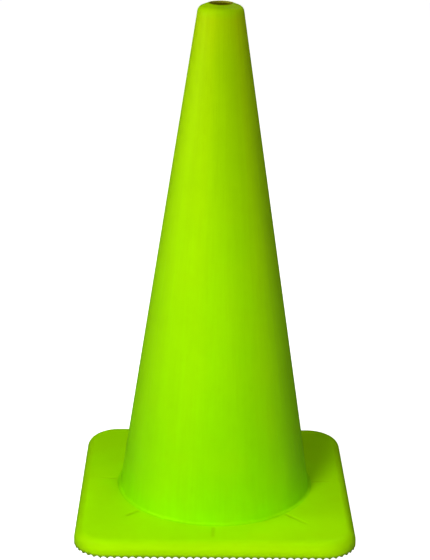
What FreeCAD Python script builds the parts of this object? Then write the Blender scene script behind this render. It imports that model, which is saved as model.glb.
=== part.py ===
"""Traffic cone, 28 inch class, in lime green plasticised PVC.

Three mouldings locked together, none of which moves:
  cone_body     tapered sleeve with an open domed tip and, at its foot, a pierced flange with eight ribs
  base_skin     square cover of the base with a rounded edge and a scalloped lower rim
  ballast_slab  recycled PVC weight that fills the cover, holds the flange from below and pegs through it

Frame: +Z up along the cone's axis, origin on the floor under the axis, sides of the base along X and Y.
Units are millimetres and degrees.
"""

import FreeCAD
import Part

import math
import os

# Overall size
HEIGHT = 711.0  # floor to the highest point of the tip, 28 inches
BASE_WIDTH = 383.0
BASE_HEIGHT = 22.0
CORNER_RADIUS = 47.5
EDGE_RADIUS = 14.0  # rounding of the base's upper edge

# Sleeve
WALL = 3.0
FOOT_RADIUS = 135.0  # outside, where the straight taper meets the top of the base
TIP_RADIUS = 29.2  # outside, where the straight taper would reach the full height
FOOT_FILLET = 4.0
HOLE_RADIUS = 15.6
DOME_SLOPE = 21.6  # degrees, falling from the hole to the shoulder
SHOULDER_RADIUS = 9.0
RIM_ROUNDING = 0.8

# Locking flange, buried in the base
COLLAR_RADIUS = 139.0  # the seam that shows on the base
FLANGE_RADIUS = 168.0
FLANGE_BOTTOM = 9.0
FLANGE_TOP = 12.0
RIB_COUNT = 8
RIB_WIDTH = 4.0
RIB_HEIGHT = 3.0
RIB_END_MARGIN = 2.0
PEG_COUNT = 16
PEG_RADIUS = 5.5
PEG_CIRCLE = 153.5
PEG_TOP = 15.0

# Base cover
SKIRT = 8.0  # thickness of the cover's side wall
RIM_EDGE_ROUNDING = 1.0  # rounding of the cover's lower outer edge
SINK_DEPTH = 0.9  # shrinkage groove over each rib, at its inner end
SINK_WIDTH = 5.0
SINK_LENGTH = 28.0

# Scallops round the lower rim, cut so that pointed teeth stand between them
SCALLOPS_PER_SIDE = 30
SCALLOPS_PER_CORNER = 8
SCALLOP_DEPTH = 3.2
SCALLOP_RUN = 6.5  # how far in a scallop reaches before it runs out
TOOTH_FLAT = 0.7

# Ballast
BALLAST_FACE = 3.0  # height of its underside between the studs
FOOT_RING_WIDTH = 12.0
STUD_PITCH = 15.0
STUD_RADIUS = 3.6
STUD_TIP_RADIUS = 2.6
STUD_MARGIN = 6.0

# Derived sizes
TAPER = (FOOT_RADIUS - TIP_RADIUS) / (HEIGHT - BASE_HEIGHT)  # radius lost per mm of height
HALF_WIDTH = BASE_WIDTH / 2
POCKET_HALF = HALF_WIDTH - SKIRT
POCKET_CORNER = CORNER_RADIUS - SKIRT
OVERCUT = 5.0  # how far a cutting tool reaches past the surface it opens


def outer_radius(z):
    """Outside radius of the straight taper at height z."""
    return FOOT_RADIUS - TAPER * (z - BASE_HEIGHT)


def inner_radius(z):
    """Inside radius of the sleeve at height z, one wall thickness in, square to the taper."""
    return outer_radius(z) - WALL * math.sqrt(1 + TAPER**2)


INNER_FOOT_RADIUS = inner_radius(FLANGE_BOTTOM)


def rounded_wire(corners):
    """Closed wire in the XZ plane through (x, z, radius) corners, each rounded by a tangent arc."""
    edges = []
    joints = []
    count = len(corners)
    for i, (x, z, radius) in enumerate(corners):
        corner = FreeCAD.Vector(x, 0, z)
        before = FreeCAD.Vector(corners[i - 1][0], 0, corners[i - 1][1])
        after = FreeCAD.Vector(corners[(i + 1) % count][0], 0, corners[(i + 1) % count][1])
        if radius == 0:
            joints.append((corner, corner))
            continue
        back = (before - corner).normalize()
        ahead = (after - corner).normalize()
        half_angle = back.getAngle(ahead) / 2
        start = corner + back * (radius / math.tan(half_angle))
        end = corner + ahead * (radius / math.tan(half_angle))
        inward = (back + ahead).normalize()
        middle = corner + inward * (radius / math.sin(half_angle) - radius)
        edges.append(Part.Arc(start, middle, end).toShape())
        joints.append((start, end))
    for i in range(count):
        edges.append(Part.makeLine(joints[i - 1][1], joints[i][0]))
    return Part.Wire(Part.__sortEdges__(edges))


def turned(corners):
    """Solid of revolution about the cone's axis from an XZ outline."""
    face = Part.Face(rounded_wire(corners))
    return face.revolve(FreeCAD.Vector(0, 0, 0), FreeCAD.Vector(0, 0, 1), 360)


def tube(outer, inner, bottom, top):
    """Upright ring of rectangular section."""
    return turned([(inner, bottom, 0), (outer, bottom, 0), (outer, top, 0), (inner, top, 0)])


def rounded_square(half, corner, bottom, top):
    """Upright square prism with rounded vertical edges, centred on the axis."""
    box = Part.makeBox(2 * half, 2 * half, top - bottom, FreeCAD.Vector(-half, -half, bottom))
    upright = [e for e in box.Edges if abs(e.Vertexes[0].Z - e.Vertexes[1].Z) > 1]
    return box.makeFillet(corner, upright)


def spun(shape, count, first=0.0):
    """Copies of a shape, evenly spaced about the axis, the first turned by `first` degrees."""
    copies = []
    for i in range(count):
        copy = shape.copy()
        copy.rotate(FreeCAD.Vector(0, 0, 0), FreeCAD.Vector(0, 0, 1), first + i * 360 / count)
        copies.append(copy)
    return copies


def shoulder(wall_radius_at_top, rim):
    """Corner (radius, height) where a taper line meets the dome line that leaves the hole at height rim."""
    slope = math.tan(math.radians(DOME_SLOPE))
    drop = HEIGHT - rim - slope * HOLE_RADIUS
    radius = (wall_radius_at_top + TAPER * drop) / (1 - TAPER * slope)
    return radius, rim - slope * (radius - HOLE_RADIUS)


def sleeve_shell():
    """The tapered wall with its domed tip, foot fillet, collar and flat flange."""
    dome_angle = math.radians(DOME_SLOPE)
    rim = HEIGHT + RIM_ROUNDING * (math.tan(dome_angle) + 1 / math.cos(dome_angle) - 1)
    under_rim = rim - WALL / math.cos(dome_angle)
    outer_shoulder = shoulder(TIP_RADIUS, rim)
    inner_shoulder = shoulder(inner_radius(HEIGHT), under_rim)
    return turned(
        [
            (INNER_FOOT_RADIUS, FLANGE_BOTTOM, 0),
            (FLANGE_RADIUS, FLANGE_BOTTOM, 0),
            (FLANGE_RADIUS, FLANGE_TOP, 0),
            (COLLAR_RADIUS, FLANGE_TOP, 0),
            (COLLAR_RADIUS, BASE_HEIGHT, 0),
            (FOOT_RADIUS, BASE_HEIGHT, FOOT_FILLET),
            (*outer_shoulder, SHOULDER_RADIUS),
            (HOLE_RADIUS, rim, RIM_ROUNDING),
            (HOLE_RADIUS, under_rim, 0),
            (*inner_shoulder, SHOULDER_RADIUS - WALL),
        ]
    )


def flange_ribs():
    """Radial ribs standing on the flange."""
    start = COLLAR_RADIUS - RIB_END_MARGIN
    length = FLANGE_RADIUS - RIB_END_MARGIN - start
    rib = Part.makeBox(length, RIB_WIDTH, RIB_HEIGHT, FreeCAD.Vector(start, -RIB_WIDTH / 2, FLANGE_TOP))
    return spun(rib, RIB_COUNT)


def pegs(bottom, top):
    """Round pegs that lock the flange, set between the ribs."""
    peg = Part.makeCylinder(PEG_RADIUS, top - bottom, FreeCAD.Vector(PEG_CIRCLE, 0, bottom))
    return spun(peg, PEG_COUNT, first=180 / PEG_COUNT)


def cone_body():
    body = sleeve_shell().fuse(flange_ribs()).removeSplitter()
    return body.cut(pegs(FLANGE_BOTTOM - OVERCUT, FLANGE_TOP + OVERCUT))


def stud_places():
    """Centres of the studs: a square grid, clear of the foot ring and of the pocket's wall."""
    reach = POCKET_HALF - STUD_MARGIN
    corner = POCKET_CORNER - STUD_MARGIN
    ring = INNER_FOOT_RADIUS + FOOT_RING_WIDTH + STUD_MARGIN
    steps = int(reach / STUD_PITCH)
    places = []
    for i in range(-steps, steps + 1):
        for j in range(-steps, steps + 1):
            x, y = i * STUD_PITCH, j * STUD_PITCH
            past_x = max(abs(x) - (reach - corner), 0)
            past_y = max(abs(y) - (reach - corner), 0)
            if math.hypot(x, y) > ring and math.hypot(past_x, past_y) < corner:
                places.append((x, y))
    return places


def ballast_slab(body):
    """Slab with its foot ring, grip studs and pegs, hollowed to the shape of the sleeve's flange."""
    slab = rounded_square(POCKET_HALF, POCKET_CORNER, BALLAST_FACE, FLANGE_TOP)
    ring = tube(INNER_FOOT_RADIUS + FOOT_RING_WIDTH, INNER_FOOT_RADIUS, 0, FLANGE_BOTTOM)
    bore = Part.makeCylinder(INNER_FOOT_RADIUS, BASE_HEIGHT, FreeCAD.Vector(0, 0, 0))
    studs = [
        Part.makeCone(STUD_TIP_RADIUS, STUD_RADIUS, BALLAST_FACE, FreeCAD.Vector(x, y, 0))
        for x, y in stud_places()
    ]
    slab = slab.cut(bore).cut(body)
    return slab.fuse([ring] + pegs(FLANGE_BOTTOM, PEG_TOP) + studs).removeSplitter()


def scallop_cutters():
    """Tilted cylinders that cut the grip scallops, square to the rim all the way round."""
    tilt = math.atan(SCALLOP_DEPTH / SCALLOP_RUN)
    depth = SCALLOP_DEPTH * math.cos(tilt)  # measured square to the cylinder
    half_chord = (BASE_WIDTH - 2 * CORNER_RADIUS) / SCALLOPS_PER_SIDE / 2 - TOOTH_FLAT / 2
    radius = (half_chord**2 + depth**2) / (2 * depth)
    start = FreeCAD.Vector(-SCALLOP_RUN - OVERCUT, 0, 0)
    length = SCALLOP_RUN + 2 * OVERCUT

    def cutter(x, y, heading):
        """One scallop whose mouth is at (x, y) on the rim, opening towards `heading` degrees."""
        tool = Part.makeCylinder(radius, length, start, FreeCAD.Vector(1, 0, 0))
        tool.rotate(FreeCAD.Vector(0, 0, 0), FreeCAD.Vector(0, -1, 0), math.degrees(tilt))
        tool.translate(FreeCAD.Vector(0, 0, (depth - radius) / math.cos(tilt)))
        tool.rotate(FreeCAD.Vector(0, 0, 0), FreeCAD.Vector(0, 0, 1), heading)
        tool.translate(FreeCAD.Vector(x, y, 0))
        return tool

    straight = HALF_WIDTH - CORNER_RADIUS
    cutters = []
    for side in range(4):
        heading = 90 * side
        out = FreeCAD.Vector(math.cos(math.radians(heading)), math.sin(math.radians(heading)), 0)
        along = FreeCAD.Vector(-out.y, out.x, 0)
        for i in range(SCALLOPS_PER_SIDE):
            step = (2 * i + 1) / SCALLOPS_PER_SIDE - 1
            place = out * HALF_WIDTH + along * (step * straight)
            cutters.append(cutter(place.x, place.y, heading))
        centre = (out + along) * straight
        for i in range(SCALLOPS_PER_CORNER):
            turn = heading + 90 * (i + 0.5) / SCALLOPS_PER_CORNER
            x = centre.x + CORNER_RADIUS * math.cos(math.radians(turn))
            y = centre.y + CORNER_RADIUS * math.sin(math.radians(turn))
            cutters.append(cutter(x, y, turn))
    return cutters


def sink_cutters():
    """Slightly tilted cylinders that leave a shallow groove over each rib, fading outwards."""
    radius = ((SINK_WIDTH / 2) ** 2 + SINK_DEPTH**2) / (2 * SINK_DEPTH)
    tilt = math.degrees(math.atan(SINK_DEPTH / SINK_LENGTH))
    tool = Part.makeCylinder(radius, SINK_LENGTH, FreeCAD.Vector(0, 0, 0), FreeCAD.Vector(1, 0, 0))
    tool.rotate(FreeCAD.Vector(0, 0, 0), FreeCAD.Vector(0, -1, 0), tilt)
    tool.translate(FreeCAD.Vector(COLLAR_RADIUS + 1, 0, BASE_HEIGHT - SINK_DEPTH + radius))
    return spun(tool, RIB_COUNT)


def base_skin():
    """Cover with a rounded upper edge, hollowed for the ballast, the collar, the ribs and the pegs."""
    cover = rounded_square(HALF_WIDTH, CORNER_RADIUS, 0, BASE_HEIGHT)
    cover = cover.makeFillet(EDGE_RADIUS, [e for e in cover.Edges if e.BoundBox.ZMin > BASE_HEIGHT - 0.1])
    cover = cover.makeFillet(RIM_EDGE_ROUNDING, [e for e in cover.Edges if e.BoundBox.ZMax < 0.1])
    pocket = rounded_square(POCKET_HALF, POCKET_CORNER, -OVERCUT, FLANGE_TOP)
    seat = Part.makeCylinder(COLLAR_RADIUS, BASE_HEIGHT + OVERCUT)
    cover = cover.cut([pocket, seat])
    cover = cover.cut(flange_ribs() + pegs(FLANGE_BOTTOM, PEG_TOP))
    cover = cover.cut(sink_cutters())
    return cover.cut(scallop_cutters())


def save(name, shape):
    """Write one node's STEP file and print what it holds."""
    solid = shape.Solids[0]
    solid.exportStep(os.path.join("parts", name + ".step"))
    print(f"{name}: {len(shape.Solids)} solid, valid {solid.isValid()}, {solid.Volume / 1e6:.3f} litres")


def main():
    os.makedirs("parts", exist_ok=True)
    body = cone_body()
    save("cone_body", body)
    save("ballast_slab", ballast_slab(body))
    save("base_skin", base_skin())


main()
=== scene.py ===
import math

import bmesh
import bpy
from mathutils import Euler, Matrix, Vector

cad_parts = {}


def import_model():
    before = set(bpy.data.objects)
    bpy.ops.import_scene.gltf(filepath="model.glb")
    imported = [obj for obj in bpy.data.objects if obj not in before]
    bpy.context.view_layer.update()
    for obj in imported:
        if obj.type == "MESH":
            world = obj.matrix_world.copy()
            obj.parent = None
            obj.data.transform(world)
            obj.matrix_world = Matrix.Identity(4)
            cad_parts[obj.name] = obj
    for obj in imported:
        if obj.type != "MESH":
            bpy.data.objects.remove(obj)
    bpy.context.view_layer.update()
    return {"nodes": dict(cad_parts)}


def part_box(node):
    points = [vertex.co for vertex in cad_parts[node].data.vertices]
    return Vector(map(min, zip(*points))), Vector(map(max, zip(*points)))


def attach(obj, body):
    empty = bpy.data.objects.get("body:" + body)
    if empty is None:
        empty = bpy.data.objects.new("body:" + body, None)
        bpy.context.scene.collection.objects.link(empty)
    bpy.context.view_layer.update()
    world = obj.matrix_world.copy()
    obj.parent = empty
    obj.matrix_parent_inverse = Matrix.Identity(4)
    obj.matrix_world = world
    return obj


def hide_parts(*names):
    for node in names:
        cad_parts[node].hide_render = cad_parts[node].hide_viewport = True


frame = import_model()

# Sizes read from the frame, in metres
base_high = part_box("base_skin")[1]
sleeve_low, sleeve_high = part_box("cone_body")
slab_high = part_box("ballast_slab")[1]
HEIGHT = sleeve_high.z
BASE_TOP = base_high.z
BASE_HALF = base_high.x
POCKET_HALF = slab_high.x
FLANGE_BOTTOM = sleeve_low.z

# Sleeve, in metres and radians
WALL = 0.003
FOOT_RADIUS = 0.135  # outside, where the straight taper meets the top of the base
TIP_RADIUS = 0.0292  # outside, where the straight taper would reach the full height
FOOT_FILLET = 0.004
HOLE_RADIUS = 0.0156
DOME_SLOPE = math.radians(21.6)
SHOULDER_RADIUS = 0.009
RIM_ROUNDING = 0.0008
COLLAR_RADIUS = 0.139
FLANGE_RADIUS = 0.168
FLANGE_TOP = 0.012
SEAM_ROUNDING = 0.0003
SLEEVE_COLUMNS = 288
SLEEVE_ROWS = 56
TAPER = (FOOT_RADIUS - TIP_RADIUS) / (HEIGHT - BASE_TOP)  # radius lost per metre of height

# Base cover, in metres
CORNER_RADIUS = 0.0475
EDGE_RADIUS = 0.014
SEAM_BEVEL = 0.3  # how far in the mouth's middle row lies, as a share of SEAM_ROUNDING
STRAIGHT_HALF = BASE_HALF - CORNER_RADIUS  # half the straight run of a side
TOP_MARGIN = 0.004  # between the last round row of the top and the start of the rounded edge
TOP_RINGS = 18
SQUARING_ROWS = 12
EDGE_ROWS = 10

# Scallops of the lower rim, in metres
RIM_EDGE_ROUNDING = 0.001
SCALLOPS_PER_SIDE = 30
SCALLOPS_PER_CORNER = 8
SCALLOP_DEPTH = 0.0032
SCALLOP_RUN = 0.0065
TOOTH_FLAT = 0.0007
SIDE_PITCH = 2 * STRAIGHT_HALF / SCALLOPS_PER_SIDE
CORNER_PITCH = math.pi / 2 * CORNER_RADIUS / SCALLOPS_PER_CORNER
SCALLOP_CUTS = (-1, -0.86, -0.62, -0.32, 0, 0.32, 0.62, 0.86, 1)  # as shares of half the scallop's width
SCALLOP_INSETS = (0, 0.0001, 0.0003, 0.0006, 0.001, 0.002, 0.0032, 0.0045, 0.0056, 0.0066)

# Shrinkage grooves in the base's top: each starts shallow, is soon at full depth and fades at its outer end
SINK_COUNT = 8
SINK_START = COLLAR_RADIUS + 0.001
SINK_FIRST_DEPTH = 0.4  # as a share of the full depth
SINK_RISE = 0.1  # share of its length over which the depth would go from nothing to full
SINK_FADE = 0.2  # share of its length over which it fades

# Lime PVC
FOOT_GREEN = 0.78  # green albedo of the lime at the foot, which falls by the next value towards the tip as painted shade for the light that weakens with height
TIP_PAINTED_SHADE = 0.15
LIME_GLOSS = 0.10
LIME_GLOSS_TINT = (0.80, 1.0, 0.02, 1.0)
LIME_ROUGHNESS = (0.36, 0.50)
# Share of the height, redness
SLEEVE_REDNESS = ((0.03, 0.35), (0.08, 0.355), (0.30, 0.415), (0.65, 0.50), (0.90, 0.580), (0.975, 0.655))
DOME_LIMES = ((0.990, 0.555, 0.5), (1.0, 0.545, 0.4))  # share of the height, redness, share of TIP_PAINTED_SHADE
# share of the height, redness, share of the painted shade towards the tip
BASE_LIMES_WITH_PAINTED_LIGHT = (
    (0.0, 0.50, 1.04),
    (0.45, 0.475, 1.02),
    (0.80, 0.455, 0.95),
    (0.97, 0.435, 0.99),
    (1.0, 0.432, 1.05),
)
FRONT_SHADE_ACROSS = 0.20  # where the sleeve's band of painted shade faces, as a share of its radius along X and Y
FRONT_SHADE_AHEAD = -0.98
FRONT_SHADE_LOSS = 0.14
FRONT_SHADE_EDGE = 0.55  # how squarely the wall has to face that way, from 0 to 1, for the band to start
FRONT_SHADE_MIDDLE = 0.85  # the same for its middle, which is a little greener
FRONT_SHADE_TINT = (0.905, 0.975, 1.0)
FRONT_SHADE_HEIGHTS = (0.35, 0.95)  # shares of the height between which the band sets in

# Patterns of the lime: scales of the noises, how far they change the brightness, and bumps in metres
NOISE_LOW, NOISE_HIGH = 0.3, 0.7  # the range that a noise mostly keeps to
DULL_NOISE = (0.7, 1.3)  # the same for two noises added up
CLOUD_SCALE = 9.0
PATCH_SCALE = 34.0
PEEL_SCALE = 420.0
BROAD_STREAK_SCALE = 5.0
FINE_STREAK_SCALE = 26.0
STREAK_SQUEEZE = 0.5  # of the pattern's scale along Z, so that the streaks run down the wall
SLEEVE_CLOUDS = (0.985, 1.025)
SLEEVE_PATCHES = 0.010
BASE_CLOUDS = (0.975, 1.02)
BASE_PATCHES = 0.012
BROAD_STREAKS = 0.022
FINE_STREAKS = 0.016
STREAK_BUMP = 0.0005
RIPPLE_BUMP = 0.0006
PEEL_BUMP = 0.00012

# Wear, and painted shade along the base's lower edge and in its grooves, with heights in metres
WARM_SCALE = 15.0
WARM_NOISE = (0.45, 0.75)  # where the patches start, and where they are full
WARM_SHARE = 0.14
WARM_LIME = (0.60, 0.5)  # redness, share of the painted shade towards the tip
SCUFF_SCALE = 60.0
SCUFF_STRETCH = (3.0, 0.4)  # of the pattern's scale along X and Z
SCUFF_NOISE = (0.62, 0.80)  # the same for the scuffs
SCUFF_SHARE = 0.10
SCUFF_GREEN = (0.26, 0.56, 0.02)
# painted shade along the base's lower edge and over its teeth, with a streaky top
LOW_SHADE_SHARE = 0.80
LOW_SHADE_SCALE = 110.0
LOW_SHADE_SQUEEZE = 0.2  # of the pattern's scale along Z
LOW_SHADE_FLOOR = 0.0018
LOW_SHADE_TOPS = (0.0064, 0.0082)
LOW_SHADE_OLIVE = (0.085, 0.12, 0.012)
# painted shade in the bottoms of the grooves in the base's top
GROOVE_SHADE = 0.40
GROOVE_DEPTHS = (0.0014, 0.0001)  # where the shade is full, and where it starts
GROOVE_REACH = BASE_HALF + 0.008  # from the axis; past it the top stays plain
SHADE_GREEN = (0.12, 0.30, 0.0)

# Inside and top hole of the sleeve
SKIN_DEPTH = WALL * 0.6  # how far into the wall the inside's look starts
DOME_DEPTHS = (WALL * 0.85, WALL * 1.05)  # the same, straight down from the dome
HOLE_DEPTH = WALL * 1.5  # how far below the tip the hole's own look reaches
HOLE_EDGE = RIM_ROUNDING * 0.3  # how far out from the hole's wall it starts to fade
INSIDE_GREEN = (0.26, 0.47, 0.01)
INSIDE_BROWN = (0.21, 0.17, 0.02)  # under the tip
PAINTED_GREEN_GLOW = (0.012, 0.026, 0.0)  # painted glow, emitted, for the daylight that soaks through the wall
PAINTED_BROWN_GLOW = (0.055, 0.043, 0.0)  # the same under the tip
BROWN_FROM, BROWN_TO = 0.70, 0.95  # shares of the height between which the inside turns brown
INSIDE_CLOUDS = (0.70, 1.05)
INSIDE_PATCHES = (0.0, 0.20)
HOLE_OLIVE = (0.50, 0.52, 0.03)
RIM_BROWN = (0.12, 0.10, 0.0)
RIM_GRIME = 0.75
RIM_GRIME_WIDTH = 0.0022
RIM_GRIME_SOFTNESS = 0.0006
RIM_GRIME_END = -0.2  # how far round the lip the dirt goes: -1 faces -Y, 0 is square to it

# Reground PVC of the slab
CHIP_SCALE = 230.0
CHIP_GREYS = ((0.0, (0.018, 0.018, 0.017)), (0.5, (0.035, 0.036, 0.033)), (1.0, (0.075, 0.077, 0.070)))
LIME_CHIP_TONE = 0.955  # chips with a tone over this are lime
LIME_CHIP = (0.12, 0.30, 0.01)
SLAB_CLOUD_SCALE = 18.0
SLAB_CLOUDS = (0.75, 1.25)
DUST_SCALE = 55.0
DUST_NOISE = (0.55, 0.8)  # where the dust starts, and where it is full
DUST_SHARE = 0.35
DUST_GREY = (0.20, 0.19, 0.16)
SLAB_GLOSS = 0.3
SLAB_ROUGHNESS = (0.62, 0.88)
CHIP_BUMP = 0.0006
DUST_BUMP = 0.0008

# Stage
WARM = (1.0, 0.75, 0.4)
ROOM_GLOW = 0.01
BOUNCE_GLOW = 0.243  # the light that a pale floor would throw back from below
HORIZON = 0.01  # half the height of the band in which the two meet
FLOOR_GREY = 0.8
FLOOR_ROUGHNESS = 0.9
FLOOR_GLOW = 0.97
FLOOR_LEVEL = -0.0002  # a hair under the studs, so that the two don't share a surface
FLOOR_REACH = 6

# Camera, in metres and radians; the lens and the sensor are in millimetres
CAMERA_LENS = 105.45
CAMERA_SENSOR = 36
CAMERA_DISTANCE = 2.1386
CAMERA_HEIGHT = 1.0665
CAMERA_ASIDE = 0.0029
CAMERA_PITCH = 0.3323
CAMERA_YAW = 0.0115
CAMERA_ROLL = 0.0133


# ---------------------------------------------------------------- meshes


def corner_arc(before, corner, after, radius, steps):
    """Points of the arc that rounds a corner, from the side of `before` to the side of `after`."""
    back = (before - corner).normalized()
    ahead = (after - corner).normalized()
    half_angle = back.angle(ahead) / 2
    centre = corner + (back + ahead).normalized() * (radius / math.sin(half_angle))
    start = corner + back * (radius / math.tan(half_angle)) - centre
    end = corner + ahead * (radius / math.tan(half_angle)) - centre
    sweep = start.angle(end)
    points = []
    for k in range(steps + 1):
        share = k / steps
        blend = start * math.sin((1 - share) * sweep) + end * math.sin(share * sweep)
        points.append(centre + blend / math.sin(sweep))
    return points


def rounded(corners, longest, arc_steps=8):
    """Points of a closed outline through (x, z, radius) corners, with straight runs cut to `longest`."""
    joints = []
    for i, (x, z, radius) in enumerate(corners):
        corner = Vector((x, z))
        if radius == 0:
            joints.append([corner])
            continue
        before = Vector(corners[i - 1][:2])
        after = Vector(corners[(i + 1) % len(corners)][:2])
        joints.append(corner_arc(before, corner, after, radius, arc_steps))
    points = []
    for i, joint in enumerate(joints):
        start = joints[i - 1][-1]
        run = joint[0] - start
        cuts = max(1, math.ceil(run.length / longest))
        points += [start + run * (k / cuts) for k in range(1, cuts)]
        points += joint
    return points


def closed_skin(name, rows, sharp_angle=math.radians(35)):
    """A closed mesh through rows of points, joined round each row and from the last row to the first."""
    count = len(rows[0])
    faces = []
    for i in range(len(rows)):
        here = i * count
        there = (i + 1) % len(rows) * count
        for k in range(count):
            m = (k + 1) % count
            faces.append((here + k, here + m, there + m, there + k))
    mesh = bpy.data.meshes.new(name)
    mesh.from_pydata([point for row in rows for point in row], [], faces)
    work = bmesh.new()
    work.from_mesh(mesh)
    bmesh.ops.recalc_face_normals(work, faces=work.faces)
    for face in work.faces:
        face.smooth = True
    for edge in work.edges:
        edge.smooth = edge.calc_face_angle(0) < sharp_angle
    work.to_mesh(mesh)
    work.free()
    piece = bpy.data.objects.new(name, mesh)
    bpy.context.scene.collection.objects.link(piece)
    return piece


def inner_radius(z):
    """Inside radius of the sleeve at height z."""
    return FOOT_RADIUS - TAPER * (z - BASE_TOP) - WALL * math.sqrt(1 + TAPER**2)


def shoulder(wall_radius_at_top, rim):
    """Corner (radius, height) where a taper line meets the dome line that leaves the hole at height rim."""
    slope = math.tan(DOME_SLOPE)
    drop = HEIGHT - rim - slope * HOLE_RADIUS
    radius = (wall_radius_at_top + TAPER * drop) / (1 - TAPER * slope)
    return radius, rim - slope * (radius - HOLE_RADIUS)


def turned_row(radius, z):
    """A circle of points round the axis."""
    row = []
    for k in range(SLEEVE_COLUMNS):
        turn = math.tau * k / SLEEVE_COLUMNS
        row.append((radius * math.cos(turn), radius * math.sin(turn), z))
    return row


def sleeve():
    """The tapered wall with its domed tip, foot fillet, collar and flange, turned about the axis."""
    rim = HEIGHT + RIM_ROUNDING * (math.tan(DOME_SLOPE) + 1 / math.cos(DOME_SLOPE) - 1)
    under_rim = rim - WALL / math.cos(DOME_SLOPE)
    foot = inner_radius(FLANGE_BOTTOM)
    outline = rounded(
        [
            (foot, FLANGE_BOTTOM, 0),
            (FLANGE_RADIUS, FLANGE_BOTTOM, 0),
            (FLANGE_RADIUS, FLANGE_TOP, 0),
            (COLLAR_RADIUS, FLANGE_TOP, 0),
            (COLLAR_RADIUS, BASE_TOP, SEAM_ROUNDING / 2),
            (FOOT_RADIUS, BASE_TOP, FOOT_FILLET),
            (*shoulder(TIP_RADIUS, rim), SHOULDER_RADIUS),
            (HOLE_RADIUS, rim, RIM_ROUNDING),
            (HOLE_RADIUS, under_rim, 0),
            (*shoulder(inner_radius(HEIGHT), under_rim), SHOULDER_RADIUS - WALL),
        ],
        longest=(HEIGHT - BASE_TOP) / SLEEVE_ROWS,
    )
    return closed_skin("sleeve", [turned_row(radius, z) for radius, z in outline])


class Column:
    """One upright cut through the base cover: where it meets the rim, which way is out, and its scallop."""

    def __init__(self, rim, out, centre, scallop_out, offset):
        self.rim = rim
        self.out = out
        self.centre = centre  # of the corner's arc, or None on a straight side
        self.scallop_out = scallop_out
        self.offset = offset  # along the rim from the middle of its scallop

    def at(self, inset):
        return self.rim - self.out * inset

    def across(self, inset):
        """How far the point at this inset lies from the scallop's own line."""
        if self.centre is None:
            return abs(self.offset)
        return abs((self.at(inset) - self.centre).cross(self.scallop_out))


def scallop_offsets(pitch):
    """Offsets from a scallop's middle at which the rim gets a column, from one tooth to the next."""
    half_chord = (pitch - TOOTH_FLAT) / 2
    return [half_chord * cut for cut in SCALLOP_CUTS]


def side_columns(out, along):
    """Columns of the straight side that faces `out`."""
    columns = []
    for i in range(SCALLOPS_PER_SIDE):
        middle = -STRAIGHT_HALF + (i + 0.5) * SIDE_PITCH
        for offset in scallop_offsets(SIDE_PITCH):
            columns.append(Column(out * BASE_HALF + along * (middle + offset), out, None, out, offset))
    return columns


def corner_columns(turn, centre):
    """Columns of the rounded corner whose arc starts at the heading `turn`."""
    columns = []
    for i in range(SCALLOPS_PER_CORNER):
        middle = turn + (i + 0.5) * CORNER_PITCH / CORNER_RADIUS
        scallop_out = Vector((math.cos(middle), math.sin(middle)))
        for offset in scallop_offsets(CORNER_PITCH):
            heading = middle + offset / CORNER_RADIUS
            out = Vector((math.cos(heading), math.sin(heading)))
            columns.append(Column(centre + out * CORNER_RADIUS, out, centre, scallop_out, offset))
    return columns


def rim_columns():
    """Columns all the way round the base, anticlockwise from the first corner of the +X side."""
    columns = []
    for side in range(4):
        turn = math.pi / 2 * side
        out = Vector((math.cos(turn), math.sin(turn)))
        along = Vector((-out.y, out.x))
        columns += side_columns(out, along)
        columns += corner_columns(turn, (out + along) * STRAIGHT_HALF)
    return columns


def scallop_height(column, inset):
    """Height of the scallop's roof over the floor at one inset, zero or less where there is none."""
    tilt = math.atan(SCALLOP_DEPTH / SCALLOP_RUN)
    depth = SCALLOP_DEPTH * math.cos(tilt)
    half_chord = (SIDE_PITCH - TOOTH_FLAT) / 2
    radius = (half_chord**2 + depth**2) / (2 * depth)
    reach = radius**2 - column.across(inset) ** 2
    if reach <= 0:
        return 0
    return (depth - radius + math.sqrt(reach)) / math.cos(tilt) - inset * math.tan(tilt)


def rim_rounding_height(inset):
    """Height over the floor of the rim's small lower rounding."""
    if inset >= RIM_EDGE_ROUNDING:
        return 0
    return RIM_EDGE_ROUNDING - math.sqrt(RIM_EDGE_ROUNDING**2 - (RIM_EDGE_ROUNDING - inset) ** 2)


class Sink:
    """A shrinkage groove in the top of the base, over one of the flange's ribs."""

    def __init__(self, inner_depth, outer_depth, length, width, turned=0.0):
        self.inner_depth = inner_depth
        self.outer_depth = outer_depth
        self.length = length
        self.width = width
        self.turned = math.radians(turned)  # from the rib's own line, anticlockwise

    def depth(self, along, across):
        """Depth at a distance along the rib from the groove's inner end, and across from its middle."""
        if not 0 <= along <= self.length:
            return 0
        share = along / self.length
        fade = min(1, (1 - share) / SINK_FADE, SINK_FIRST_DEPTH + share / SINK_RISE)
        bottom = self.inner_depth + (self.outer_depth - self.inner_depth) * share
        return bottom * fade * max(0, 1 - (across / (self.width / 2)) ** 2)


EVEN_SINK = Sink(inner_depth=0.0006, outer_depth=0.0004, length=0.030, width=0.0060)
THIN_SINK = Sink(inner_depth=0.0005, outer_depth=0.0003, length=0.030, width=0.0040, turned=0.5)
FRONT_SINK = Sink(inner_depth=0.0008, outer_depth=0.0003, length=0.034, width=0.0075, turned=-1.0)
LONG_SINK = Sink(inner_depth=0.0009, outer_depth=0.0002, length=0.046, width=0.0070, turned=-0.8)
OUTER_SINK = Sink(inner_depth=0.0004, outer_depth=0.0009, length=0.026, width=0.0085, turned=-3.5)
FAINT_SINK = Sink(inner_depth=0.0005, outer_depth=0.0003, length=0.026, width=0.0050, turned=-3.0)

# The grooves that differ, by how many eighths of a turn from +X they lie; 4 and -4 are the same line
ODD_SINKS = {-2: FRONT_SINK, -3: OUTER_SINK, -1: LONG_SINK, 0: THIN_SINK, 4: FAINT_SINK, -4: FAINT_SINK}


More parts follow.
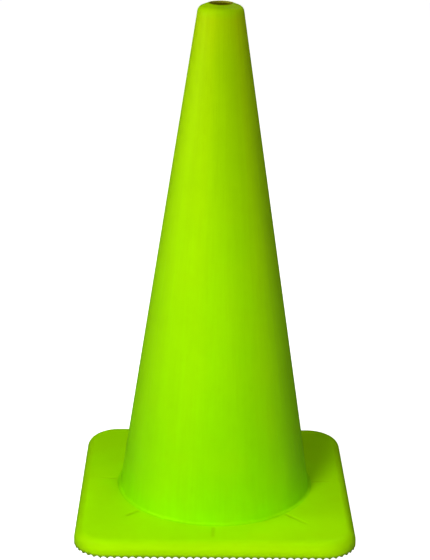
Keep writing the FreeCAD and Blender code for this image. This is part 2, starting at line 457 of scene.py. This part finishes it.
def sink_depth(x, y):
    """Depth of the shrinkage grooves at a point of the base's top."""
    turn = math.tau / SINK_COUNT
    step = round(math.atan2(y, x) / turn)
    sink = ODD_SINKS.get(step, EVEN_SINK)
    heading = step * turn + sink.turned
    along = x * math.cos(heading) + y * math.sin(heading) - SINK_START
    across = y * math.cos(heading) - x * math.sin(heading)
    return sink.depth(along, across)


def ring(starts, radius, z):
    """A circle of points, one on the line from the axis to each start."""
    row = []
    for start in starts:
        point = start.normalized() * radius
        row.append((point.x, point.y, z))
    return row


def top_row(starts, radius, share=0.0):
    """A row on the grooved top: a circle at share 0, and the line through the starts at share 1."""
    row = []
    for start in starts:
        point = (start.normalized() * radius).lerp(start, share)
        row.append((point.x, point.y, BASE_TOP - sink_depth(point.x, point.y)))
    return row


def flat_row(columns, inset, z):
    return [(*column.at(inset), z) for column in columns]


def rim_row(columns, inset):
    """A row of the scalloped underside of the rim."""
    row = []
    for column in columns:
        height = max(rim_rounding_height(inset), scallop_height(column, inset), 0)
        row.append((*column.at(inset), height))
    return row


def bore_rows(starts):
    """Up the bore round the collar and over its mouth."""
    bevel = SEAM_ROUNDING * SEAM_BEVEL
    return [
        ring(starts, COLLAR_RADIUS, FLANGE_TOP),
        ring(starts, COLLAR_RADIUS, BASE_TOP - SEAM_ROUNDING),
        ring(starts, COLLAR_RADIUS + bevel, BASE_TOP - bevel),
        ring(starts, COLLAR_RADIUS + SEAM_ROUNDING, BASE_TOP),
    ]


def top_rows(starts):
    """Across the top: circles over the grooves, then rows that turn from round to square."""
    reach = BASE_HALF - EDGE_RADIUS - SINK_START - TOP_MARGIN
    rows = [top_row(starts, SINK_START + reach * k / TOP_RINGS) for k in range(TOP_RINGS + 1)]
    rows += [top_row(starts, SINK_START + reach, k / SQUARING_ROWS) for k in range(1, SQUARING_ROWS)]
    return rows


def edge_rows(columns):
    """Over the rounded edge and half way down the rim."""
    rows = []
    for k in range(EDGE_ROWS + 1):
        turn = math.pi / 2 * k / EDGE_ROWS
        height = BASE_TOP - EDGE_RADIUS + EDGE_RADIUS * math.cos(turn)
        rows.append(flat_row(columns, EDGE_RADIUS * (1 - math.sin(turn)), height))
    rows.append(flat_row(columns, 0, (BASE_TOP - EDGE_RADIUS + SCALLOP_DEPTH) / 2))
    return rows


def underside_rows(columns):
    """Under the rim, past its scallops, and up into the pocket for the slab."""
    skirt = BASE_HALF - POCKET_HALF
    rows = [rim_row(columns, inset) for inset in SCALLOP_INSETS]
    rows += [flat_row(columns, skirt, 0), flat_row(columns, skirt, FLANGE_TOP)]
    return rows


def base_cover():
    """The square cover: bore, grooved top, rounded edge, scalloped rim, and the pocket under it."""
    columns = rim_columns()
    starts = [column.at(EDGE_RADIUS) for column in columns]
    rows = bore_rows(starts) + top_rows(starts) + edge_rows(columns) + underside_rows(columns)
    return closed_skin("base_cover", rows)


# ---------------------------------------------------------------- materials


class Recipe:
    """A material's node tree, with one short call for each kind of node it needs."""

    MIX_BELOW, MIX_ABOVE, MIX_RESULT = 6, 7, 2  # a Mix node's colour sockets share their names with others

    def __init__(self, name):
        self.material = bpy.data.materials.new(name)
        self.material.use_nodes = True
        self.tree = self.material.node_tree
        self.shader = self.tree.nodes["Principled BSDF"]
        self.place = self.node("ShaderNodeTexCoord").outputs["Object"]

    def node(self, kind, **settings):
        made = self.tree.nodes.new(kind)
        for name, value in settings.items():
            setattr(made, name, value)
        return made

    def feed(self, socket, value):
        """Wires a node's output to a socket, or sets the socket's own value."""
        if isinstance(value, bpy.types.NodeSocket):
            self.tree.links.new(value, socket)
        else:
            socket.default_value = value

    def math(self, operation, first, second=0.0):
        made = self.node("ShaderNodeMath", operation=operation)
        self.feed(made.inputs[0], first)
        self.feed(made.inputs[1], second)
        return made.outputs[0]

    def split(self, vector):
        made = self.node("ShaderNodeSeparateXYZ")
        self.feed(made.inputs[0], vector)
        return made.outputs[0], made.outputs[1], made.outputs[2]

    def join(self, x, y, z):
        made = self.node("ShaderNodeCombineXYZ")
        for socket, value in zip(made.inputs, (x, y, z)):
            self.feed(socket, value)
        return made.outputs[0]

    def from_axis(self, x, y):
        """Distance from the cone's axis."""
        return self.math("SQRT", self.math("ADD", self.math("MULTIPLY", x, x), self.math("MULTIPLY", y, y)))

    def noise(self, vector, scale, detail=3.0, roughness=0.5):
        made = self.node("ShaderNodeTexNoise")
        self.feed(made.inputs["Vector"], vector)
        made.inputs["Scale"].default_value = scale
        made.inputs["Detail"].default_value = detail
        made.inputs["Roughness"].default_value = roughness
        return made.outputs["Fac"]

    def span(self, value, low, high, to_low=0.0, to_high=1.0, smooth=False):
        """Maps low..high to to_low..to_high, held at both ends."""
        made = self.node("ShaderNodeMapRange", interpolation_type="SMOOTHSTEP" if smooth else "LINEAR")
        sockets = ("Value", "From Min", "From Max", "To Min", "To Max")
        for socket, amount in zip(sockets, (value, low, high, to_low, to_high)):
            self.feed(made.inputs[socket], amount)
        return made.outputs[0]

    def vary(self, noise, low, high):
        """Maps a noise's usual range to low..high."""
        return self.span(noise, NOISE_LOW, NOISE_HIGH, low, high)

    def ramp(self, value, stops):
        """A colour for each (place, colour) stop."""
        made = self.node("ShaderNodeValToRGB")
        self.feed(made.inputs[0], value)
        bar = made.color_ramp.elements
        bar[0].position, bar[0].color = stops[0][0], (*stops[0][1], 1)
        bar[1].position, bar[1].color = stops[-1][0], (*stops[-1][1], 1)
        for spot, colour in stops[1:-1]:
            bar.new(spot).color = (*colour, 1)
        return made.outputs[0]

    def blend(self, kind, share, below, above):
        """Mixes two colours, each an output or three plain numbers."""
        made = self.node("ShaderNodeMix", data_type="RGBA", blend_type=kind)
        self.feed(made.inputs["Factor"], share)
        for socket, colour in ((self.MIX_BELOW, below), (self.MIX_ABOVE, above)):
            plain = not isinstance(colour, bpy.types.NodeSocket)
            self.feed(made.inputs[socket], (*colour, 1) if plain else colour)
        return made.outputs[self.MIX_RESULT]

    def shade(self, colour, value):
        """A colour multiplied by a plain number."""
        made = self.node("ShaderNodeVectorMath", operation="SCALE")
        self.feed(made.inputs[0], colour)
        self.feed(made.inputs["Scale"], value)
        return made.outputs[0]

    def bump(self, height, distance, under=None):
        made = self.node("ShaderNodeBump")
        made.inputs["Distance"].default_value = distance
        self.feed(made.inputs["Height"], height)
        if under is not None:
            self.feed(made.inputs["Normal"], under)
        return made.outputs[0]

    def set(self, **values):
        """Feeds the shader's sockets, by name with an underscore for each space."""
        for name, value in values.items():
            self.feed(self.shader.inputs[name.replace("_", " ")], value)


def lime(redness, height_share=0.0, painted_light=1.0):
    """The lime's colour: red as a share of green, a little darker towards the tip as painted shade, and
    scaled by a painted brightness.
    """
    green = FOOT_GREEN * (1 - TIP_PAINTED_SHADE * height_share) * painted_light
    return (green * redness, green, 0.0)


def sleeve_lime():
    """The sleeve's PVC: yellower and, as painted shade, darker towards the tip, with draw streaks that run
    down the turned wall and a band of painted shade up its front.
    """
    r = Recipe("sleeve_lime")
    x, y, z = r.split(r.place)
    radius = r.from_axis(x, y)
    across = r.math("DIVIDE", x, radius)
    ahead = r.math("DIVIDE", y, radius)
    share = r.math("DIVIDE", z, HEIGHT)
    turned = r.join(across, ahead, r.math("MULTIPLY", z, STREAK_SQUEEZE))
    broad = r.noise(turned, BROAD_STREAK_SCALE, detail=2.0)
    fine = r.noise(turned, FINE_STREAK_SCALE, roughness=0.6)
    clouds = r.noise(r.place, CLOUD_SCALE, detail=4.0)
    patches = r.noise(r.place, PATCH_SCALE)
    value = r.vary(clouds, *SLEEVE_CLOUDS)
    for noise, amount in ((patches, SLEEVE_PATCHES), (broad, BROAD_STREAKS), (fine, FINE_STREAKS)):
        value = r.math("ADD", value, r.vary(noise, -amount, amount))
    colour = front_painted_shade(r, sleeve_ramp(r, share), value, across, ahead, share)
    colour, scuffs = worn(r, colour)
    colour = hole_dirt(r, colour, z, radius, ahead)
    colour = dusty_inside_with_painted_glow(r, colour, z, radius, share, clouds, patches)
    bumps = r.bump(fine, STREAK_BUMP, under=moulded_grain(r, patches))
    finish_lime(r, colour, bumps, clouds, scuffs)
    return r.material


def sleeve_ramp(r, share):
    """Lime that turns yellower up the wall, and greener again on the dome, with painted shade that darkens
    it towards the tip.
    """
    colours = [(spot, lime(redness, spot)) for spot, redness in SLEEVE_REDNESS]
    colours += [(spot, lime(redness, loss)) for spot, redness, loss in DOME_LIMES]
    return r.ramp(share, colours)


def front_painted_shade(r, colour, value, across, ahead, share):
    """Shades a colour by value, with painted shade in a band up the front, greener in the band's middle."""
    facing = r.math("ADD", r.math("MULTIPLY", across, FRONT_SHADE_ACROSS), r.math("MULTIPLY", ahead, FRONT_SHADE_AHEAD))
    rising = r.span(share, *FRONT_SHADE_HEIGHTS, smooth=True)
    painted_shade = r.math("MULTIPLY", r.span(facing, FRONT_SHADE_EDGE, 1.0, smooth=True), rising)
    colour = r.shade(colour, r.math("SUBTRACT", value, r.math("MULTIPLY", painted_shade, FRONT_SHADE_LOSS)))
    return r.blend("MULTIPLY", r.span(facing, FRONT_SHADE_MIDDLE, 1.0, smooth=True), colour, FRONT_SHADE_TINT)


def hole_dirt(r, colour, z, radius, ahead):
    """The olive wall of the top hole, and the dirt on its front lip, where a finger lifts the cone."""
    near_top = r.math("GREATER_THAN", z, HEIGHT - HOLE_DEPTH)
    lip = HOLE_RADIUS + RIM_ROUNDING
    wall = r.span(radius, HOLE_RADIUS + HOLE_EDGE, lip, 1.0, 0.0, smooth=True)
    colour = r.blend("MIX", r.math("MULTIPLY", wall, near_top), colour, HOLE_OLIVE)
    width = r.span(ahead, -1.0, RIM_GRIME_END, RIM_GRIME_WIDTH, 0.0, smooth=True)
    beyond = r.math("SUBTRACT", radius, r.math("ADD", width, HOLE_RADIUS))
    near = r.span(beyond, -RIM_GRIME_SOFTNESS, RIM_GRIME_SOFTNESS, 1.0, 0.0, smooth=True)
    dirt_and_shade = r.math("MULTIPLY", r.math("MULTIPLY", near, near_top), RIM_GRIME)
    return r.blend("MIX", dirt_and_shade, colour, RIM_BROWN)


def dusty_inside_with_painted_glow(r, colour, z, radius, share, clouds, patches):
    """Dusty lime on the sleeve's inside, brown under the tip, with a faint painted glow for light through
    the wall.
    """
    inside = inside_share(r, z, radius)
    stops = [(0.0, INSIDE_GREEN), (BROWN_FROM, INSIDE_GREEN), (BROWN_TO, INSIDE_BROWN)]
    dust = r.math("ADD", r.vary(clouds, *INSIDE_CLOUDS), r.vary(patches, *INSIDE_PATCHES))
    dusty = r.shade(r.ramp(share, stops), dust)
    glow = r.ramp(share, [(BROWN_FROM, PAINTED_GREEN_GLOW), (BROWN_TO, PAINTED_BROWN_GLOW)])
    # painted light: the inside emits a faint glow
    r.set(Emission_Color=r.blend("MIX", inside, (0, 0, 0), glow), Emission_Strength=1.0)
    return r.blend("MIX", inside, colour, dusty)


def inside_share(r, z, radius):
    """1 on the sleeve's inside, 0 on its outside and on the wall of its top hole."""
    skin = r.math("SUBTRACT", FOOT_RADIUS + TAPER * BASE_TOP - SKIN_DEPTH, r.math("MULTIPLY", z, TAPER))
    under_wall = r.math("LESS_THAN", radius, skin)
    slope = math.tan(DOME_SLOPE)
    dome = r.math("SUBTRACT", HEIGHT + slope * HOLE_RADIUS, r.math("MULTIPLY", radius, slope))
    depth = r.math("SUBTRACT", dome, z)
    return r.math("MULTIPLY", under_wall, r.span(depth, *DOME_DEPTHS, smooth=True))


def base_lime():
    """The base's PVC: soft flow clouds, painted light and shade by height, painted shade in the grooves
    over the ribs, and painted shade along the lower edge and teeth.
    """
    r = Recipe("base_lime")
    x, y, z = r.split(r.place)
    limes_with_painted_light = [(spot, lime(redness, painted_light=painted_light)) for spot, redness, painted_light in BASE_LIMES_WITH_PAINTED_LIGHT]
    colour = r.ramp(r.math("DIVIDE", z, BASE_TOP), limes_with_painted_light)
    clouds = r.noise(r.place, CLOUD_SCALE, detail=4.0)
    patches = r.noise(r.place, PATCH_SCALE)
    value = r.math("ADD", r.vary(clouds, *BASE_CLOUDS), r.vary(patches, -BASE_PATCHES, BASE_PATCHES))
    colour = groove_shadow(r, r.shade(colour, value), x, y, z)
    colour, scuffs = worn(r, colour)
    colour = rim_painted_shade(r, colour, x, y, z)
    finish_lime(r, colour, moulded_grain(r, patches), clouds, scuffs)
    return r.material


def groove_shadow(r, colour, x, y, z):
    """Paints shade into the bottoms of the grooves in the base's top."""
    radius = r.from_axis(x, y)
    squarely = r.math("MAXIMUM", r.math("ABSOLUTE", x), r.math("ABSOLUTE", y))
    on_top = r.math("LESS_THAN", squarely, BASE_HALF - EDGE_RADIUS)
    on_top = r.math("MULTIPLY", on_top, r.math("LESS_THAN", radius, GROOVE_REACH))
    deep, shallow = GROOVE_DEPTHS
    sunk = r.span(z, BASE_TOP - deep, BASE_TOP - shallow, GROOVE_SHADE, 0.0)
    return r.blend("MIX", r.math("MULTIPLY", on_top, sunk), colour, SHADE_GREEN)


def rim_painted_shade(r, colour, x, y, z):
    """Painted shade along the lower edge and over the teeth, with a streaky top."""
    squeezed = r.join(x, y, r.math("MULTIPLY", z, LOW_SHADE_SQUEEZE))
    streaky = r.noise(squeezed, LOW_SHADE_SCALE, detail=4.0)
    dirt_and_shade = r.span(z, LOW_SHADE_FLOOR, r.vary(streaky, *LOW_SHADE_TOPS), LOW_SHADE_SHARE, 0.0, smooth=True)
    return r.blend("MIX", dirt_and_shade, colour, LOW_SHADE_OLIVE)


def worn(r, colour):
    """Warmer patches and faint rubbed scuffs; hands back the colour and the scuffs' own noise."""
    x, y, z = r.split(r.place)
    warm = r.noise(r.place, WARM_SCALE, detail=5.0, roughness=0.6)
    colour = r.blend("MIX", r.span(warm, *WARM_NOISE, 0.0, WARM_SHARE), colour, lime(*WARM_LIME))
    stretch_x, stretch_z = SCUFF_STRETCH
    rubbed = r.join(r.math("MULTIPLY", x, stretch_x), y, r.math("MULTIPLY", z, stretch_z))
    scuffs = r.noise(rubbed, SCUFF_SCALE, detail=6.0, roughness=0.7)
    colour = r.blend("MIX", r.span(scuffs, *SCUFF_NOISE, 0.0, SCUFF_SHARE), colour, SCUFF_GREEN)
    return colour, scuffs


def moulded_grain(r, patches):
    """The mould's fine orange peel over slow ripples."""
    peel = r.noise(r.place, PEEL_SCALE, detail=2.0)
    return r.bump(patches, RIPPLE_BUMP, under=r.bump(peel, PEEL_BUMP))


def finish_lime(r, colour, bumps, clouds, scuffs):
    """The satin surface of both lime mouldings, duller where it is cloudy or scuffed."""
    dull = r.math("ADD", clouds, scuffs)
    r.set(Base_Color=colour, Normal=bumps, Roughness=r.span(dull, *DULL_NOISE, *LIME_ROUGHNESS))
    r.set(Specular_IOR_Level=LIME_GLOSS, Specular_Tint=LIME_GLOSS_TINT)


def recycled_pvc():
    """Reground dark PVC: pressed chips of several greys, a few of them lime, in a rough dull slab."""
    r = Recipe("recycled_pvc")
    chips = r.node("ShaderNodeTexVoronoi")
    r.feed(chips.inputs["Vector"], r.place)
    chips.inputs["Scale"].default_value = CHIP_SCALE
    tone = r.split(chips.outputs["Color"])[0]
    colour = r.ramp(tone, CHIP_GREYS)
    colour = r.blend("MIX", r.math("GREATER_THAN", tone, LIME_CHIP_TONE), colour, LIME_CHIP)
    clouds = r.noise(r.place, SLAB_CLOUD_SCALE, detail=5.0, roughness=0.6)
    colour = r.shade(colour, r.vary(clouds, *SLAB_CLOUDS))
    dust = r.noise(r.place, DUST_SCALE, detail=6.0, roughness=0.7)
    colour = r.blend("MIX", r.span(dust, *DUST_NOISE, 0.0, DUST_SHARE), colour, DUST_GREY)
    bumps = r.bump(dust, DUST_BUMP, under=r.bump(chips.outputs["Distance"], CHIP_BUMP))
    r.set(Base_Color=colour, Normal=bumps, Roughness=r.vary(dust, *SLAB_ROUGHNESS))
    r.set(Specular_IOR_Level=SLAB_GLOSS)
    return r.material


def dress(piece, material):
    piece.data.materials.clear()
    piece.data.materials.append(material)


# ---------------------------------------------------------------- stage


def floor():
    """A plain pale floor that glows a little, so that the cone's own shadow on it stays faint."""
    mesh = bpy.data.meshes.new("floor")
    sides = ((-1, -1), (1, -1), (1, 1), (-1, 1))
    corners = [(x * FLOOR_REACH, y * FLOOR_REACH, FLOOR_LEVEL) for x, y in sides]
    mesh.from_pydata(corners, [], [(0, 1, 2, 3)])
    plane = bpy.data.objects.new("floor", mesh)
    bpy.context.scene.collection.objects.link(plane)
    material = bpy.data.materials.new("floor")
    material.use_nodes = True
    shader = material.node_tree.nodes["Principled BSDF"]
    shader.inputs["Base Color"].default_value = (FLOOR_GREY, FLOOR_GREY, FLOOR_GREY, 1)
    shader.inputs["Roughness"].default_value = FLOOR_ROUGHNESS
    shader.inputs["Specular IOR Level"].default_value = 0.0
    shader.inputs["Emission Color"].default_value = (1, 1, 1, 1)
    shader.inputs["Emission Strength"].default_value = FLOOR_GLOW
    dress(plane, material)
    plane.visible_diffuse = False
    plane.visible_glossy = False


def camera():
    """The viewpoint: a long lens above the tip, looking down, leaning and turned by a hair."""
    data = bpy.data.cameras.new("camera")
    data.sensor_width = CAMERA_SENSOR
    data.lens = CAMERA_LENS
    eye = bpy.data.objects.new("camera", data)
    bpy.context.scene.collection.objects.link(eye)
    level = Euler((math.pi / 2 - CAMERA_PITCH, 0, -CAMERA_YAW)).to_matrix()
    aim = level @ Matrix.Rotation(CAMERA_ROLL, 3, "Z")
    eye.rotation_euler = aim.to_euler()
    spot = Vector((-CAMERA_ASIDE, -CAMERA_DISTANCE, CAMERA_HEIGHT))
    eye.location = Matrix.Rotation(-CAMERA_YAW, 3, "Z") @ spot
    bpy.context.scene.camera = eye


def world():
    """A white backdrop to the camera; to everything else a dark room over a bright floor."""
    made = bpy.data.worlds.new("world")
    bpy.context.scene.world = made
    made.use_nodes = True
    tree = made.node_tree
    path = tree.nodes.new("ShaderNodeLightPath")
    heading = tree.nodes.new("ShaderNodeTexCoord")
    height = tree.nodes.new("ShaderNodeSeparateXYZ")
    tree.links.new(heading.outputs["Generated"], height.inputs[0])
    bounce = tree.nodes.new("ShaderNodeMapRange")
    bounce.inputs["From Min"].default_value = -HORIZON
    bounce.inputs["From Max"].default_value = HORIZON
    bounce.inputs["To Min"].default_value = BOUNCE_GLOW
    bounce.inputs["To Max"].default_value = ROOM_GLOW
    tree.links.new(height.outputs["Z"], bounce.inputs["Value"])
    glow = tree.nodes.new("ShaderNodeMapRange")
    glow.inputs["To Max"].default_value = 1.0
    tree.links.new(path.outputs["Is Camera Ray"], glow.inputs["Value"])
    tree.links.new(bounce.outputs[0], glow.inputs["To Min"])
    background = tree.nodes["Background"]
    background.inputs["Color"].default_value = (1, 1, 1, 1)
    tree.links.new(glow.outputs[0], background.inputs["Strength"])
    made.cycles_visibility.glossy = False


def lamp(name, azimuth, elevation, distance, aim_height, size, power, tint=(1, 1, 1), glossy=True):
    """A round soft light; azimuth 0 is the camera's side and 90 its right, in degrees."""
    data = bpy.data.lights.new(name, "AREA")
    data.shape = "DISK"
    data.size = size
    data.energy = power
    data.color = tint
    light = bpy.data.objects.new(name, data)
    bpy.context.scene.collection.objects.link(light)
    turn, lift = math.radians(azimuth), math.radians(elevation)
    away = Vector((math.sin(turn) * math.cos(lift), -math.cos(turn) * math.cos(lift), math.sin(lift)))
    light.location = Vector((0, 0, aim_height)) + away * distance
    light.rotation_euler = (-away).to_track_quat("-Z", "Y").to_euler()
    light.visible_camera = False
    light.visible_glossy = glossy


def lights():
    """Two keys from the front left, two small near fills, and two far fills that leave no glints."""
    far = {"distance": 3.0, "aim_height": 0.3, "size": 1.0}
    near = {"distance": 1.2, "aim_height": 0.1, "size": 0.3}
    lamp("high_key", azimuth=-30, elevation=45, power=37.9, **far)
    lamp("low_key", azimuth=-20, elevation=25, distance=0.9, aim_height=0.1, size=0.3, power=2.0)
    lamp("left_fill", azimuth=-75, elevation=35, power=3.4, **near)
    lamp("front_fill", azimuth=15, elevation=8, power=3.5, **near)
    lamp("right_fill", azimuth=60, elevation=65, power=13.2, tint=WARM, glossy=False, **far)
    lamp("back_fill", azimuth=150, elevation=45, power=15.0, glossy=False, **far)


sleeve_piece = sleeve()
dress(sleeve_piece, sleeve_lime())
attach(sleeve_piece, "root")
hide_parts("cone_body")

cover_piece = base_cover()
dress(cover_piece, base_lime())
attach(cover_piece, "root")
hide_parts("base_skin")

slab_material = recycled_pvc()
for slab_slot in frame["nodes"]["ballast_slab"].material_slots:
    slab_slot.material = slab_material

floor()
camera()
world()
lights()
bpy.context.scene.view_settings.view_transform = "Standard"
